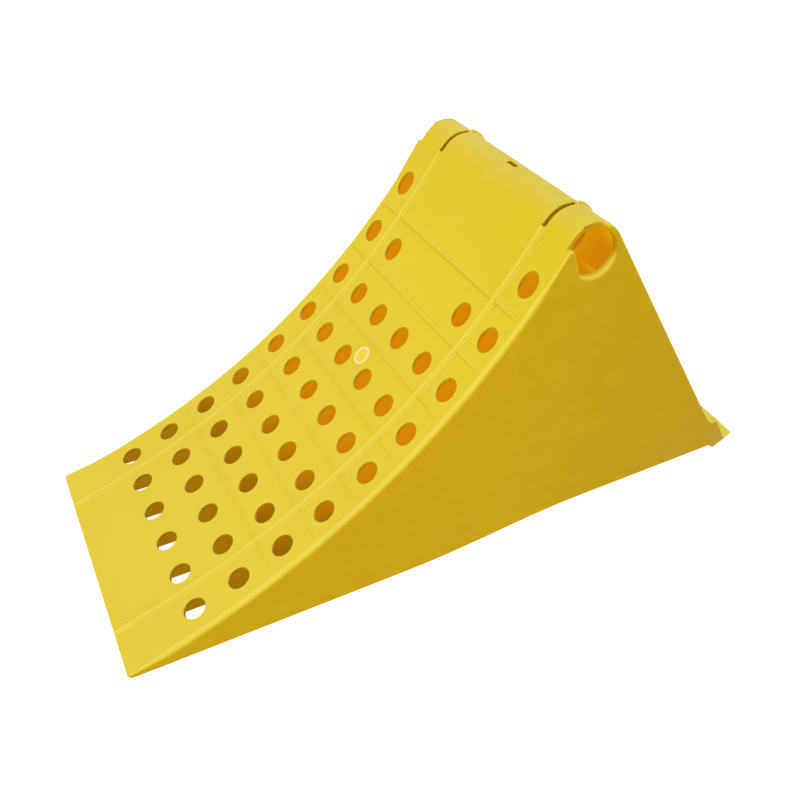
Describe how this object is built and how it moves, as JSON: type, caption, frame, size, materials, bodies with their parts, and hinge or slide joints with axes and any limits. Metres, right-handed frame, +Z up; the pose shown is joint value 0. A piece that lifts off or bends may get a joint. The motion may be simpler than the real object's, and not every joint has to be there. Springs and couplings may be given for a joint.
{
  "type": "wheel chock",
  "caption": "Hollow plastic wheel chock with a curved wheel seat, grip holes, a handle roll across the top and a wedge-shaped heel foot, open underneath.",
  "frame": {"origin": "on the ground, under the middle of the chock", "axes": "+X from the toe towards the heel, +Y across the chock, +Z up"},
  "size_m": [0.492, 0.2034, 0.2292],
  "materials": {
    "yellow_plastic": "satin moulded plastic, bright yellow, slightly translucent",
    "inner_plastic": "the same yellow plastic inside the hollow, where it looks amber"
  },
  "bodies": {
    "root": {"toe_lip": "yellow_plastic", "deck_centre": "yellow_plastic", "deck_left": "yellow_plastic", "deck_right": "yellow_plastic", "roll_centre": "yellow_plastic", "roll_left": "yellow_plastic", "roll_right": "yellow_plastic", "rear_wall_centre": "yellow_plastic", "rear_wall_left": "yellow_plastic", "rear_wall_right": "yellow_plastic", "heel_foot": "yellow_plastic", "side_wall_left": "yellow_plastic", "side_wall_right": "yellow_plastic", "web_left": "yellow_plastic", "web_right": "yellow_plastic", "keel_rib": "inner_plastic", "rib_left": "inner_plastic", "rib_right": "inner_plastic", "cross_rib_1": "inner_plastic", "cross_rib_2": "inner_plastic", "cross_rib_3": "inner_plastic", "cross_rib_4": "inner_plastic", "cross_rib_5": "inner_plastic", "cross_rib_6": "inner_plastic", "cross_rib_7": "inner_plastic", "handle_rib": "inner_plastic"}
  },
  "joints": []
}
